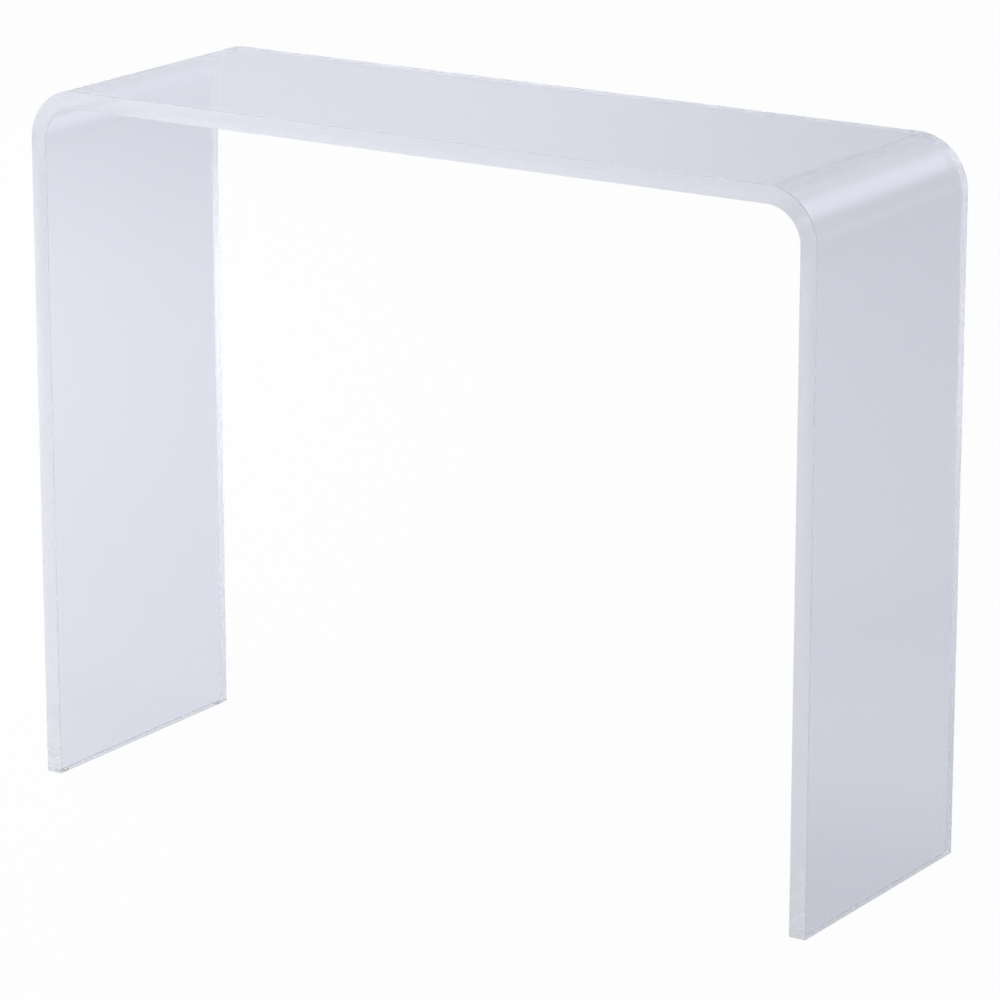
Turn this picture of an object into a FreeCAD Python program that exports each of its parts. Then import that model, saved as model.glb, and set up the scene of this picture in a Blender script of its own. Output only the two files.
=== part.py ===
import FreeCAD, Part
import os
import Sketcher
from math import pi
from FreeCAD import Vector

# A clear acrylic console table. One thick sheet, heated and bent twice over a former, makes the
# top and both legs, and a small clear pad under each corner keeps the leg ends off the floor.
# X runs along the table, Y from its front to its rear and Z up. The origin lies on the floor,
# below the middle of the top.

# Driving sizes, in millimetres
SIZES = {
    # The table as it stands, from outside to outside and from the floor to the top
    "table_length": 950.0,
    "table_depth": 305.0,
    "table_height": 760.0,
    # The sheet: its thickness, the inside radius of both bends, and the polished bevel on its cut edges
    "sheet_thickness": 19.0,
    "bend_radius": 38.0,
    "arris_width": 1.0,
    # The pads: their size, the rounding of the rim that stands on the floor, and the strip of leg end
    # that stays bare between a pad and the front or rear edge
    "pad_diameter": 12.0,
    "pad_thickness": 2.0,
    "pad_rim_radius": 0.7,
    "pad_margin": 7.0,
}

# Edges closer than this to a plane lie in it
IN_PLANE = 0.001

SKETCH_NORMAL = Vector(0, 0, 1)

# Terms of a sketch's constraints: the points of a line or an arc, and the sketch's own origin and axis
START, END, CENTRE = range(1, 4)
ORIGIN_POINT = (-1, START)
VERTICAL_AXIS = -2

doc = FreeCAD.newDocument("console_table")
sizes = doc.addObject("Spreadsheet::Sheet", "sizes")
for row, (name, value) in enumerate(SIZES.items(), start=1):
    sizes.set(f"A{row}", name)
    sizes.set(f"B{row}", str(value))
    sizes.setAlias(f"B{row}", name)
doc.recompute()


def new_sketch(body, name, plane_role):
    """An empty sketch on one of the body's own origin planes."""
    plane = next(item for item in body.Origin.OriginFeatures if item.Role == plane_role)
    sketch = body.newObject("Sketcher::SketchObject", name)
    sketch.AttachmentSupport = (plane, [""])
    sketch.MapMode = "FlatFace"
    return sketch


def rule(sketch, *terms):
    """A geometric constraint."""
    sketch.addConstraint(Sketcher.Constraint(*terms))


def dimension(sketch, name, formula, *terms):
    """A constraint with a name, whose value follows a formula of the driving sizes."""
    number = sketch.addConstraint(Sketcher.Constraint(*terms))
    sketch.renameConstraint(number, name)
    sketch.setExpression(f"Constraints.{name}", formula)


def draw_face_line(sketch, bend_x, bend_z, radius):
    """One face of the sheet seen from the front: up a leg, round a bend, along the top and down again.

    Both bends turn about (-bend_x, bend_z) and (bend_x, bend_z), so the radius says which face it is.
    """
    leg_x = bend_x + radius
    top_z = bend_z + radius
    leg_end_z = sizes.pad_thickness

    def bend_arc(centre_x, first_angle, last_angle):
        circle = Part.Circle(Vector(centre_x, bend_z, 0), SKETCH_NORMAL, radius)
        return Part.ArcOfCircle(circle, first_angle, last_angle)

    left_leg = sketch.addGeometry(
        Part.LineSegment(Vector(-leg_x, leg_end_z, 0), Vector(-leg_x, bend_z, 0))
    )
    left_bend = sketch.addGeometry(bend_arc(-bend_x, pi / 2, pi))
    top = sketch.addGeometry(
        Part.LineSegment(Vector(-bend_x, top_z, 0), Vector(bend_x, top_z, 0))
    )
    right_bend = sketch.addGeometry(bend_arc(bend_x, 0, pi / 2))
    right_leg = sketch.addGeometry(
        Part.LineSegment(Vector(leg_x, bend_z, 0), Vector(leg_x, leg_end_z, 0))
    )
    rule(sketch, "Tangent", left_leg, END, left_bend, END)
    rule(sketch, "Tangent", left_bend, START, top, START)
    rule(sketch, "Tangent", top, END, right_bend, END)
    rule(sketch, "Tangent", right_bend, START, right_leg, START)
    rule(sketch, "Vertical", left_leg)
    rule(sketch, "Horizontal", top)
    rule(sketch, "Vertical", right_leg)
    return left_leg, left_bend, top, right_bend, right_leg


def draw_leg_end(sketch, outer_leg, inner_leg, point):
    """The square end of a leg, joining its outer face to its inner face."""
    outer_corner = sketch.getPoint(outer_leg, point)
    inner_corner = sketch.getPoint(inner_leg, point)
    leg_end = sketch.addGeometry(Part.LineSegment(outer_corner, inner_corner))
    rule(sketch, "Coincident", leg_end, START, outer_leg, point)
    rule(sketch, "Coincident", leg_end, END, inner_leg, point)
    rule(sketch, "Horizontal", leg_end)
    return leg_end


def cut_edges(shape):
    """The names of the edges round the sheet's cut faces: its front, its rear and both leg ends."""
    names = []
    for number, edge in enumerate(shape.Edges, start=1):
        box = edge.BoundBox
        on_front_or_rear = box.YLength < IN_PLANE
        on_leg_end = box.ZMax < sizes.pad_thickness + IN_PLANE
        if on_front_or_rear or on_leg_end:
            names.append(f"Edge{number}")
    return names


def make_bent_sheet():
    """The sheet, drawn in its bent form, as deep as the table and bevelled along every cut edge."""
    body = doc.addObject("PartDesign::Body", "bent_sheet")
    sketch = new_sketch(body, "sheet_profile", "XZ_Plane")
    outer_radius = sizes.bend_radius + sizes.sheet_thickness
    bend_x = sizes.table_length / 2 - outer_radius
    bend_z = sizes.table_height - outer_radius
    outer = draw_face_line(sketch, bend_x, bend_z, outer_radius)
    inner = draw_face_line(sketch, bend_x, bend_z, sizes.bend_radius)
    outer_left_leg, outer_left_bend, outer_top, outer_right_bend, outer_right_leg = outer
    inner_left_leg, inner_left_bend, _, inner_right_bend, inner_right_leg = inner
    left_end = draw_leg_end(sketch, outer_left_leg, inner_left_leg, START)
    draw_leg_end(sketch, outer_right_leg, inner_right_leg, END)
    rule(sketch, "Coincident", outer_left_bend, CENTRE, inner_left_bend, CENTRE)
    rule(sketch, "Coincident", outer_right_bend, CENTRE, inner_right_bend, CENTRE)
    rule(sketch, "Equal", inner_left_bend, inner_right_bend)
    rule(sketch, "Symmetric", outer_left_leg, START, outer_right_leg, END, VERTICAL_AXIS)
    dimension(
        sketch, "sheet_thickness", "sizes.sheet_thickness",
        "DistanceX", left_end, START, left_end, END, sizes.sheet_thickness,
    )
    dimension(
        sketch, "bend_radius", "sizes.bend_radius",
        "Radius", inner_left_bend, sizes.bend_radius,
    )
    dimension(
        sketch, "table_length", "sizes.table_length",
        "DistanceX", outer_left_leg, START, outer_right_leg, END, sizes.table_length,
    )
    dimension(
        sketch, "table_height", "sizes.table_height",
        "DistanceY", *ORIGIN_POINT, outer_top, START, sizes.table_height,
    )
    dimension(
        sketch, "leg_end_height", "sizes.pad_thickness",
        "DistanceY", *ORIGIN_POINT, outer_left_leg, START, sizes.pad_thickness,
    )

    slab = body.newObject("PartDesign::Pad", "sheet_slab")
    slab.Profile = sketch
    slab.SideType = "Symmetric"
    slab.setExpression("Length", "sizes.table_depth")
    doc.recompute()

    arris = body.newObject("PartDesign::Chamfer", "polished_arris")
    arris.Base = (slab, cut_edges(slab.Shape))
    arris.setExpression("Size", "sizes.arris_width")
    return body


def make_foot_pad(label, x_side, y_side):
    """A round clear pad, stuck to a leg end near its corner, with a softened rim on the floor."""
    body = doc.addObject("PartDesign::Body", label)
    sketch = new_sketch(body, f"{label}_outline", "XY_Plane")
    outline = sketch.addGeometry(Part.Circle(Vector(), SKETCH_NORMAL, sizes.pad_diameter / 2))
    rule(sketch, "Coincident", outline, CENTRE, *ORIGIN_POINT)
    dimension(
        sketch, "pad_diameter", "sizes.pad_diameter",
        "Diameter", outline, sizes.pad_diameter,
    )

    disc = body.newObject("PartDesign::Pad", f"{label}_disc")
    disc.Profile = sketch
    disc.setExpression("Length", "sizes.pad_thickness")
    doc.recompute()

    floor_rim = [
        f"Edge{number}"
        for number, edge in enumerate(disc.Shape.Edges, start=1)
        if edge.BoundBox.ZMax < IN_PLANE
    ]
    rim = body.newObject("PartDesign::Fillet", f"{label}_rim")
    rim.Base = (disc, floor_rim)
    rim.setExpression("Radius", "sizes.pad_rim_radius")

    leg_middle = "(sizes.table_length - sizes.sheet_thickness) / 2"
    pad_row = "(sizes.table_depth / 2 - sizes.pad_margin - sizes.pad_diameter / 2)"
    body.setExpression("Placement.Base.x", f"{x_side} * {leg_middle}")
    body.setExpression("Placement.Base.y", f"{y_side} * {pad_row}")
    return body


pieces = [make_bent_sheet()]
for end_name, y_side in (("front", -1), ("rear", 1)):
    for side_name, x_side in (("left", -1), ("right", 1)):
        pieces.append(make_foot_pad(f"foot_pad_{end_name}_{side_name}", x_side, y_side))
doc.recompute()

for item in doc.Objects:
    if "Invalid" in item.State or "Error" in item.State:
        raise RuntimeError(f"{item.Name} failed: {item.State}")
for piece in pieces:
    if piece.Shape.isNull() or not piece.Shape.isValid():
        raise RuntimeError(f"{piece.Label} has no valid shape")

os.makedirs("parts", exist_ok=True)
for piece in pieces:
    piece.Shape.exportStep(f"parts/{piece.Label}.step")
    print(piece.Label, len(piece.Shape.Solids), "solid,", round(piece.Shape.Volume), "mm3")
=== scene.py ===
from math import atan2, copysign, cos, hypot, pi, radians, sin

import bpy
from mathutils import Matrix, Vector


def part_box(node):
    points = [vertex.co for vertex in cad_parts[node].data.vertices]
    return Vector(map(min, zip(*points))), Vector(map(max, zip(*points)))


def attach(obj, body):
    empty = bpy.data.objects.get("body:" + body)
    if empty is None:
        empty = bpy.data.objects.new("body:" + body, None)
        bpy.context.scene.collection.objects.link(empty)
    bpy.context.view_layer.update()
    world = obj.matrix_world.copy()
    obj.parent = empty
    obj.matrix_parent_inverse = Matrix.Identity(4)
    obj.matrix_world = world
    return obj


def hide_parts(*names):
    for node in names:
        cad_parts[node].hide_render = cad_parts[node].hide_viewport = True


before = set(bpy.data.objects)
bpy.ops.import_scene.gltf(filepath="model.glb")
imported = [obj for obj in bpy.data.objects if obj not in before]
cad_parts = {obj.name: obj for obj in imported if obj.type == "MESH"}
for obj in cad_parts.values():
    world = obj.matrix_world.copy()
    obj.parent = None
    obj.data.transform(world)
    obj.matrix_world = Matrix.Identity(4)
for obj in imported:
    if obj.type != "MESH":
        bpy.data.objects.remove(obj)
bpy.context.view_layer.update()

# Bent sheet
# One thick sheet of clear cast acrylic, the top and both legs in one. It is sawn to size, its edges are
# polished and bevelled, and it is then heated along two lines and bent over a round former.
sheet_low, sheet_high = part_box("bent_sheet")
sheet_thickness = 0.019
bend_inside_radius = 0.038
bend_steps = 48
arris_width = 0.001
arris_steps = 3
# The sheet is divided closely over this stretch beside each bend, where the heat has softened it
softened_run = 0.036
softened_steps = 6
merge_distance = 1e-6
up, along, down = Vector((0, 0, 1)), Vector((1, 0, 0)), Vector((0, 0, -1))

sheet_depth = sheet_high.y - sheet_low.y
bend_outside_radius = bend_inside_radius + sheet_thickness
bend_middle_radius = bend_inside_radius + sheet_thickness / 2
bend_x = sheet_high.x - bend_outside_radius
bend_z = sheet_high.z - bend_outside_radius
leg_middle_x = sheet_high.x - sheet_thickness / 2
leg_run = bend_z - sheet_low.z - softened_run
top_run = 2 * (bend_x - softened_run)


def push_on(direction, length):
    """Carries the end of the strip straight on."""
    move = direction * length
    bpy.ops.mesh.extrude_region_move(TRANSFORM_OT_translate={"value": move})


def push_on_softened(direction):
    """Carries the end of the strip on over a softened stretch, in short steps."""
    for _ in range(softened_steps):
        push_on(direction, softened_run / softened_steps)


def bend_over(former_x):
    """Turns the end of the strip a quarter turn over a former that lies front to rear."""
    bpy.ops.mesh.spin(
        steps=bend_steps, angle=-pi / 2, center=(former_x, 0, bend_z), axis=(0, 1, 0)
    )


# The strip starts as the end of the left leg and finishes as the end of the right one
bpy.ops.object.select_all(action="DESELECT")
bpy.ops.mesh.primitive_plane_add(size=1, enter_editmode=True)
sheet = bpy.context.object
sheet.name = "clear_bent_sheet"
bpy.ops.transform.resize(value=(sheet_thickness, sheet_depth, 1))
bpy.ops.transform.translate(value=(-leg_middle_x, 0, sheet_low.z))
push_on(up, leg_run)
push_on_softened(up)
bend_over(-bend_x)
push_on_softened(along)
push_on(along, top_run)
push_on_softened(along)
bend_over(bend_x)
push_on_softened(down)
push_on(down, leg_run)
bpy.ops.mesh.select_all(action="SELECT")
bpy.ops.mesh.remove_doubles(threshold=merge_distance)
bpy.ops.mesh.normals_make_consistent(inside=False)
bpy.ops.object.mode_set(mode="OBJECT")

bpy.ops.object.shade_smooth()
arris = sheet.modifiers.new("arris", "BEVEL")
arris.width = arris_width
arris.segments = arris_steps
arris.limit_method = "ANGLE"
arris.angle_limit = radians(40)
arris.harden_normals = True
bpy.ops.object.modifier_apply(modifier=arris.name)

# Each point keeps its place on the flat sheet: along it from the middle, across it, and in its thickness.
# It also keeps how soft the heat has made it: fully in the bends, and less and less beside them.
sheet.data.attributes.new("sheet_place", "FLOAT_VECTOR", "POINT")
sheet.data.attributes.new("softness", "FLOAT", "POINT")
places = sheet.data.attributes["sheet_place"].data
softness = sheet.data.attributes["softness"].data
for vertex, place, soft in zip(sheet.data.vertices, places, softness):
    x, y, z = vertex.co
    over_x = max(abs(x) - bend_x, 0)
    over_z = max(z - bend_z, 0)
    run = min(abs(x), bend_x) + bend_middle_radius * atan2(over_x, over_z) + max(bend_z - z, 0)
    place.vector = copysign(run, x), y, hypot(over_x, over_z) - bend_inside_radius
    beside_bend = max(bend_x - abs(x), 0) if z > bend_z else bend_z - z
    soft.value = max(1 - beside_bend / softened_run, 0)

# The sheet and its pads refract alike, and this share of the light passes into their shadows
plastic_ior = 1.49
light_in_shadow = 0.65
# Most of the noise in their finishes lies between these values
noise_low, noise_high = 0.3, 0.7


def clear_plastic(name, colour, clearness):
    """A plastic that is clear by this share and milky by the rest, and casts a faint shadow."""
    material = bpy.data.materials.new(name)
    material.use_nodes = True
    tree = material.node_tree
    shader = tree.nodes["Principled BSDF"]
    shader.inputs["Base Color"].default_value = (*colour, 1)
    shader.inputs["Transmission Weight"].default_value = clearness
    shader.inputs["IOR"].default_value = plastic_ior
    shadow_film = tree.nodes.new("ShaderNodeBsdfTransparent")
    shadow_film.inputs["Color"].default_value = (light_in_shadow, light_in_shadow, light_in_shadow, 1)
    ray = tree.nodes.new("ShaderNodeLightPath")
    mix = tree.nodes.new("ShaderNodeMixShader")
    tree.links.new(ray.outputs["Is Shadow Ray"], mix.inputs["Fac"])
    tree.links.new(shader.outputs[0], mix.inputs[1])
    tree.links.new(shadow_film.outputs[0], mix.inputs[2])
    tree.links.new(mix.outputs[0], tree.nodes["Material Output"].inputs["Surface"])
    return material


def kept_by_sheet(tree, name):
    """What the sheet's points keep under this name."""
    kept = tree.nodes.new("ShaderNodeAttribute")
    kept.attribute_name = name
    return kept


def grain(tree, place, per_metre, detail):
    """Noise laid over the piece, so many to the metre along each of its directions."""
    mapping = tree.nodes.new("ShaderNodeMapping")
    mapping.inputs["Scale"].default_value = per_metre
    tree.links.new(place, mapping.inputs["Vector"])
    noise = tree.nodes.new("ShaderNodeTexNoise")
    noise.inputs["Scale"].default_value = 1
    noise.inputs["Detail"].default_value = detail
    tree.links.new(mapping.outputs[0], noise.inputs["Vector"])
    return noise.outputs["Fac"]


def ramp(tree, value, start, end, low, high, interpolation="LINEAR"):
    """Goes from low to high while the value goes from its start to its end."""
    span = tree.nodes.new("ShaderNodeMapRange")
    span.interpolation_type = interpolation
    span.inputs["From Min"].default_value = start
    span.inputs["From Max"].default_value = end
    span.inputs["To Min"].default_value = low
    span.inputs["To Max"].default_value = high
    tree.links.new(value, span.inputs["Value"])
    return span.outputs["Result"]


def raise_surface(tree, marks, height):
    """Bumps of a height in metres."""
    bump = tree.nodes.new("ShaderNodeBump")
    bump.inputs["Distance"].default_value = height
    tree.links.new(marks, bump.inputs["Height"])
    tree.links.new(bump.outputs["Normal"], tree.nodes["Principled BSDF"].inputs["Normal"])


def mark_surface(tree, marks, height, smooth, rough):
    """Marks that stand up by a height in metres, and vary the roughness from smooth to rough."""
    raise_surface(tree, marks, height)
    roughness = ramp(tree, marks, noise_low, noise_high, smooth, rough)
    tree.links.new(roughness, tree.nodes["Principled BSDF"].inputs["Roughness"])


# The faces keep the faint waves of casting, and wiping leaves a trace of smudges. The heat has dulled them
# in the bends.
face = clear_plastic("polished_face", colour=(0.93, 0.94, 0.97), clearness=1)
tree = face.node_tree
flat_place = kept_by_sheet(tree, "sheet_place").outputs["Vector"]
waves = grain(tree, flat_place, per_metre=(9, 9, 9), detail=1)
raise_surface(tree, waves, height=0.00004)
smudges = grain(tree, flat_place, per_metre=(5, 16, 9), detail=5)
smudged_roughness = ramp(tree, smudges, noise_low, noise_high, low=0.01, high=0.035)
dulled_roughness = 0.17
dulled = tree.nodes.new("ShaderNodeMix")
tree.links.new(kept_by_sheet(tree, "softness").outputs["Fac"], dulled.inputs["Factor"])
tree.links.new(smudged_roughness, dulled.inputs["A"])
dulled.inputs["B"].default_value = dulled_roughness
tree.links.new(dulled.outputs["Result"], tree.nodes["Principled BSDF"].inputs["Roughness"])
sheet.data.materials.append(face)

# The edges are a little milky, with fine polishing lines that run along them and round the bends
edge = clear_plastic("polished_edge", colour=(0.97, 0.975, 0.99), clearness=0.8)
tree = edge.node_tree
flat_place = kept_by_sheet(tree, "sheet_place").outputs["Vector"]
polishing = grain(tree, flat_place, per_metre=(4, 4, 900), detail=3)
mark_surface(tree, polishing, height=0.0000015, smooth=0.18, rough=0.22)
sheet.data.materials.append(edge)

# The bevels are scraped and polished by hand, and are smoother than the edges
bevel = clear_plastic("polished_bevel", colour=(0.84, 0.85, 0.87), clearness=0.8)
tree = bevel.node_tree
flat_place = kept_by_sheet(tree, "sheet_place").outputs["Vector"]
scraping = grain(tree, flat_place, per_metre=(3, 3, 900), detail=2)
mark_surface(tree, scraping, height=0.0000005, smooth=0.12, rough=0.16)
sheet.data.materials.append(bevel)

# The leg ends, which face the floor, are only sanded
sanded = clear_plastic("sanded_end", colour=(0.86, 0.87, 0.85), clearness=0.2)
tree = sanded.node_tree
flat_place = kept_by_sheet(tree, "sheet_place").outputs["Vector"]
scratches = grain(tree, flat_place, per_metre=(900, 60, 900), detail=3)
mark_surface(tree, scratches, height=0.000004, smooth=0.3, rough=0.45)
sheet.data.materials.append(sanded)

# A surface faces a direction squarely, or leans towards it, where its normal has this share of it
squarely = 0.95
leaning = 0.3
edge_slot, bevel_slot, sanded_slot = 1, 2, 3
for polygon in sheet.data.polygons:
    on_leg_end = polygon.center.z < sheet_low.z + arris_width
    if abs(polygon.normal.y) > squarely:
        polygon.material_index = edge_slot
    elif on_leg_end and polygon.normal.z < -squarely:
        polygon.material_index = sanded_slot
    elif on_leg_end or abs(polygon.normal.y) > leaning:
        polygon.material_index = bevel_slot

# The light that the floor throws back isn't held up by the sheet
sheet.visible_diffuse = False
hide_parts("bent_sheet")
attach(sheet, "root")

# Foot pads
# Four round pads of soft clear polyurethane, stuck under the leg ends near their corners. Each is cut
# from a thin sheet and has a rounded rim where it stands on the floor.
pad_low, pad_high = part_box("foot_pad_front_left")
pad_radius = (pad_high.x - pad_low.x) / 2
pad_thickness = pad_high.z - pad_low.z
pad_centre = (pad_low + pad_high) / 2
pad_sides = 48
pad_rim_radius = 0.0007
pad_rim_steps = 4

pad_material = clear_plastic("satin_pad", colour=(0.9, 0.9, 0.91), clearness=0.5)
tree = pad_material.node_tree
object_place = tree.nodes.new("ShaderNodeTexCoord").outputs["Object"]
cloud = grain(tree, object_place, per_metre=(900, 900, 900), detail=2)
mark_surface(tree, cloud, height=0.00002, smooth=0.3, rough=0.45)

bpy.ops.object.select_all(action="DESELECT")
bpy.ops.mesh.primitive_circle_add(
    vertices=pad_sides, radius=pad_radius, fill_type="NGON", enter_editmode=True
)
first_pad = bpy.context.object
first_pad.name = "clear_foot_pad_front_left"
bpy.ops.transform.translate(value=(pad_centre.x, pad_centre.y, pad_high.z))
push_on(down, pad_thickness)
bpy.ops.mesh.bevel(offset=pad_rim_radius, segments=pad_rim_steps, affect="EDGES")
bpy.ops.mesh.select_all(action="SELECT")
bpy.ops.mesh.normals_make_consistent(inside=False)
bpy.ops.object.mode_set(mode="OBJECT")
bpy.ops.object.shade_smooth_by_angle(angle=radians(30))
first_pad.data.materials.append(pad_material)

for corner in ("front_left", "front_right", "rear_left", "rear_right"):
    pad = first_pad
    if corner != "front_left":
        low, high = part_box(f"foot_pad_{corner}")
        bpy.ops.object.select_all(action="DESELECT")
        first_pad.select_set(True)
        bpy.context.view_layer.objects.active = first_pad
        bpy.ops.object.duplicate(linked=False)
        pad = bpy.context.object
        pad.name = f"clear_foot_pad_{corner}"
        bpy.ops.object.mode_set(mode="EDIT")
        bpy.ops.mesh.select_all(action="SELECT")
        bpy.ops.transform.translate(value=(low + high) / 2 - pad_centre)
        bpy.ops.object.mode_set(mode="OBJECT")
    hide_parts(f"foot_pad_{corner}")
    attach(pad, "root")

# Floor
# A plain floor in pale grey paint that runs past the picture on every side. White to the eye, it keeps a
# faint shadow, and the acrylic shows it too.
floor_size = 60
floor_colour = (0.71, 0.715, 0.735)
# The share of plain white in it, to the eye and as the acrylic shows it, with the tint it has there
white_to_eye = 0.96
white_in_acrylic = 0.15
white_tint_in_acrylic = (0.9, 0.92, 1)
# In the acrylic it is whiter beyond the reach of the lamps, and most of all far to the left: painted
# light, a glow that the floor gives off where no lamp lights it
lamps_fade_at, lamps_end_at = 3.2, 6
painted_glow_far_off = 0.6
left_starts_at, left_ends_at = -2.7, -4.4
painted_glow_far_left = 0.95


def calculate(tree, operation, *terms):
    """The result of a sum, a product or the like, whose terms are numbers or outputs of nodes."""
    node = tree.nodes.new("ShaderNodeMath")
    node.operation = operation
    for term, socket in zip(terms, node.inputs):
        if isinstance(term, float):
            socket.default_value = term
        else:
            tree.links.new(term, socket)
    return node.outputs[0]


def white_share(tree, in_acrylic):
    """How much of a ray's view is plain white: most of it for the eye, and some of it in the acrylic."""
    ray = tree.nodes.new("ShaderNodeLightPath")
    acrylic_rays = calculate(
        tree, "MAXIMUM", ray.outputs["Is Glossy Ray"], ray.outputs["Is Transmission Ray"]
    )
    acrylic_share = calculate(tree, "MULTIPLY", acrylic_rays, in_acrylic)
    return calculate(tree, "MULTIPLY_ADD", ray.outputs["Is Camera Ray"], white_to_eye, acrylic_share)


bpy.ops.object.select_all(action="DESELECT")
bpy.ops.mesh.primitive_plane_add(size=floor_size)
floor = bpy.context.object
floor.name = "studio_floor"
paint = bpy.data.materials.new("floor_paint")
paint.use_nodes = True
tree = paint.node_tree
shader = tree.nodes["Principled BSDF"]
shader.inputs["Base Color"].default_value = (*floor_colour, 1)
shader.inputs["Roughness"].default_value = 1
shader.inputs["Specular IOR Level"].default_value = 0

object_place = tree.nodes.new("ShaderNodeTexCoord").outputs["Object"]
distance = tree.nodes.new("ShaderNodeVectorMath")
distance.operation = "LENGTH"
tree.links.new(object_place, distance.inputs[0])
across = tree.nodes.new("ShaderNodeSeparateXYZ")
tree.links.new(object_place, across.inputs[0])
# Painted light: the glow that the acrylic shows in the floor grows far from the table and far to the left
far_off = ramp(
    tree, distance.outputs["Value"], lamps_fade_at, lamps_end_at, white_in_acrylic, painted_glow_far_off
)
far_left = ramp(
    tree, across.outputs["X"], left_starts_at, left_ends_at, white_in_acrylic, painted_glow_far_left
)
floor_in_acrylic = calculate(tree, "MAXIMUM", far_off, far_left)

white = tree.nodes.new("ShaderNodeMix")
white.data_type = "RGBA"
white.inputs["A"].default_value = (*white_tint_in_acrylic, 1)
white.inputs["B"].default_value = (1, 1, 1, 1)
tree.links.new(tree.nodes.new("ShaderNodeLightPath").outputs["Is Camera Ray"], white.inputs["Factor"])
glow = tree.nodes.new("ShaderNodeEmission")
tree.links.new(white.outputs["Result"], glow.inputs["Color"])
mix = tree.nodes.new("ShaderNodeMixShader")
tree.links.new(white_share(tree, floor_in_acrylic), mix.inputs["Fac"])
tree.links.new(shader.outputs[0], mix.inputs[1])
tree.links.new(glow.outputs[0], mix.inputs[2])
tree.links.new(mix.outputs[0], tree.nodes["Material Output"].inputs["Surface"])
floor.data.materials.append(paint)

# Studio
# A room with a pale cool wall, brightest half-way up and to the left, and a softbox that hangs behind the
# right end of the table.
wall_colour = (0.89, 0.907, 1.0)
# The wall's brightness at heights from level with the eye, 0, to straight overhead, 1
wall_level = 0.7
wall_overhead = 0.4
wall_between = (0.12, 0.47), (0.2, 0.53), (0.5, 0.81), (0.75, 0.51)
# Its brightness on the left, and the directions over which it gets there
wall_left = 0.85
left_wall_starts_at, left_wall_ends_at = -0.41, -0.55
# The softbox's place, how far it reaches round its middle, its even part, and its light
softbox_azimuth = radians(161.5)
softbox_elevation = radians(25)
softbox_reach = radians(14.5)
softbox_even_part = radians(3)
softbox_light = 1.12


def direction_at(azimuth, elevation):
    """The direction at an angle to the right of the front, and an angle above the floor."""
    return Vector((
        sin(azimuth) * cos(elevation),
        -cos(azimuth) * cos(elevation),
        sin(elevation),
    ))


scene = bpy.context.scene
scene.world = bpy.data.worlds.new("studio")
scene.world.use_nodes = True
tree = scene.world.node_tree
direction = tree.nodes.new("ShaderNodeTexCoord").outputs["Generated"]
sides = tree.nodes.new("ShaderNodeSeparateXYZ")
tree.links.new(direction, sides.inputs[0])
upward = tree.nodes.new("ShaderNodeFloatCurve")
curve = upward.mapping.curves[0]
curve.points[0].location = 0, wall_level
curve.points[1].location = 1, wall_overhead
for height, brightness in wall_between:
    curve.points.new(height, brightness)
for point in curve.points:
    point.handle_type = "VECTOR"
upward.mapping.update()
tree.links.new(sides.outputs["Z"], upward.inputs["Value"])
leftward = ramp(
    tree, sides.outputs["X"], left_wall_starts_at, left_wall_ends_at, low=0, high=1,
    interpolation="SMOOTHSTEP",
)
wall = tree.nodes.new("ShaderNodeMix")
tree.links.new(leftward, wall.inputs["Factor"])
tree.links.new(upward.outputs["Value"], wall.inputs["A"])
wall.inputs["B"].default_value = wall_left

facing = tree.nodes.new("ShaderNodeVectorMath")
facing.operation = "DOT_PRODUCT"
facing.inputs[1].default_value = direction_at(softbox_azimuth, softbox_elevation)
tree.links.new(direction, facing.inputs[0])
softbox = ramp(
    tree, facing.outputs["Value"], cos(softbox_reach), cos(softbox_even_part), low=0, high=softbox_light,
    interpolation="SMOOTHSTEP",
)
tinted = tree.nodes.new("ShaderNodeVectorMath")
tinted.operation = "SCALE"
tinted.inputs[0].default_value = wall_colour
tree.links.new(calculate(tree, "ADD", wall.outputs["Result"], softbox), tinted.inputs["Scale"])
seen = tree.nodes.new("ShaderNodeMix")
seen.data_type = "RGBA"
tree.links.new(white_share(tree, white_in_acrylic), seen.inputs["Factor"])
tree.links.new(tinted.outputs[0], seen.inputs["A"])
seen.inputs["B"].default_value = (1, 1, 1, 1)
tree.links.new(seen.outputs["Result"], tree.nodes["Background"].inputs["Color"])

# Lamps
# A large softbox high on the left, and a smaller one near the front left, a little above the table. They
# light the floor and the milky edges, and don't show in the polished faces.
for name, place, target, size, power in (
    ("key_softbox", Vector((-3.86, 0.39, 2.59)), Vector((0, 0.6, 0)), 2.0, 110),
    ("front_softbox", Vector((-1.8, -2.3, 0.95)), Vector((-0.3, 0, 0.8)), 0.8, 36),
):
    bpy.ops.object.light_add(type="AREA", location=place)
    lamp = bpy.context.object
    lamp.name = name
    lamp.data.shape = "SQUARE"
    lamp.data.size = size
    lamp.data.energy = power
    lamp.rotation_euler = (place - target).to_track_quat("Z", "Y").to_euler()
    lamp.visible_camera = False
    lamp.visible_glossy = False
    lamp.visible_transmission = False

# Light that is caught inside the sheet turns back at its faces many times before it leaves
most_bounces = 256
scene.cycles.max_bounces = most_bounces
scene.cycles.glossy_bounces = most_bounces
scene.cycles.transmission_bounces = most_bounces
scene.view_settings.view_transform = "Standard"

# Camera
# A long lens at the photograph's angle, from the front right and a little above, so that the whole table
# just fills the picture.
camera_distance = 5.2216
camera_target = Vector((0.0144, 0, 0.3482))
towards_camera = direction_at(azimuth=radians(33.16), elevation=radians(15.81))
bpy.ops.object.camera_add(location=camera_target + camera_distance * towards_camera)
camera = bpy.context.object
camera.rotation_euler = towards_camera.to_track_quat("Z", "Y").to_euler()
camera.data.lens = 180
camera.data.sensor_width = 36
camera.data.clip_end = 100
scene.camera = camera
